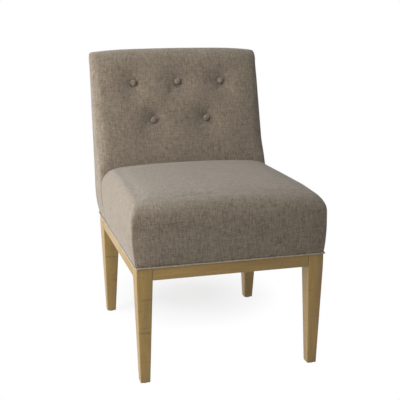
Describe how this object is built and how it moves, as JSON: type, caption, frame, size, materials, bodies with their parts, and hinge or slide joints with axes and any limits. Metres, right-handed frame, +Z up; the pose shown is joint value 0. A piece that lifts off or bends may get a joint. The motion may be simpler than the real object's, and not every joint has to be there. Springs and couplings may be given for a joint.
{
  "type": "slipper chair",
  "caption": "Armless upholstered slipper chair with a button-tufted leaning back, a crowned tight seat and a welt, on a wooden base with tapered legs.",
  "frame": {"origin": "middle of the chair's outline on the floor", "axes": "+Z up, -Y the way the chair faces, +X to the right as seen from the front"},
  "size_m": [0.55, 0.6942, 0.86],
  "materials": {
    "oak": "satin lacquer, lengthwise grain",
    "frame_wood": "sawn, unfinished",
    "fabric": "fine flecked tweed weave, grey-brown",
    "batting": "soft white polyester wrap",
    "foam": "open-cell foam",
    "decking": "pressed fibre pad",
    "cambric": "thin matte black non-woven",
    "webbing": "woven jute",
    "twine": "waxed twisted twine",
    "steel": "drawn wire and zinc-plated bolts",
    "plastic": "moulded, dark brown"
  },
  "bodies": {
    "root": {"front_left_leg": "oak", "front_right_leg": "oak", "rear_left_leg": "oak", "rear_right_leg": "oak", "front_left_glide": "plastic", "front_right_glide": "plastic", "rear_left_glide": "plastic", "rear_right_glide": "plastic", "front_left_base_block": "frame_wood", "front_right_base_block": "frame_wood", "rear_left_base_block": "frame_wood", "rear_right_base_block": "frame_wood", "front_left_base_bolt": "steel", "front_right_base_bolt": "steel", "rear_left_base_bolt": "steel", "rear_right_base_bolt": "steel", "front_base_rail": "oak", "rear_base_rail": "oak", "left_base_rail": "oak", "right_base_rail": "oak", "front_seat_rail": "frame_wood", "rear_seat_rail": "frame_wood", "left_seat_rail": "frame_wood", "right_seat_rail": "frame_wood", "front_left_seat_block": "frame_wood", "front_right_seat_block": "frame_wood", "rear_left_seat_block": "frame_wood", "rear_right_seat_block": "frame_wood", "seat_spring_1": "steel", "seat_spring_2": "steel", "seat_spring_3": "steel", "seat_spring_4": "steel", "seat_deck": "decking", "seat_foam": "foam", "seat_batting": "batting", "seat_cover": "fabric", "welt": "fabric", "dust_cover": "cambric", "left_back_post": "frame_wood", "right_back_post": "frame_wood", "lower_back_rail": "frame_wood", "top_back_rail": "frame_wood", "back_foam": "foam", "back_batting": "batting", "inside_back_cover": "fabric", "outside_back_cover": "fabric", "lower_strap": "webbing", "middle_strap": "webbing", "upper_strap": "webbing", "button_upper_left": "fabric", "button_upper_middle": "fabric", "button_upper_right": "fabric", "button_lower_left": "fabric", "button_lower_right": "fabric", "twine_upper_left": "twine", "twine_upper_middle": "twine", "twine_upper_right": "twine", "twine_lower_left": "twine", "twine_lower_right": "twine"}
  },
  "joints": []
}
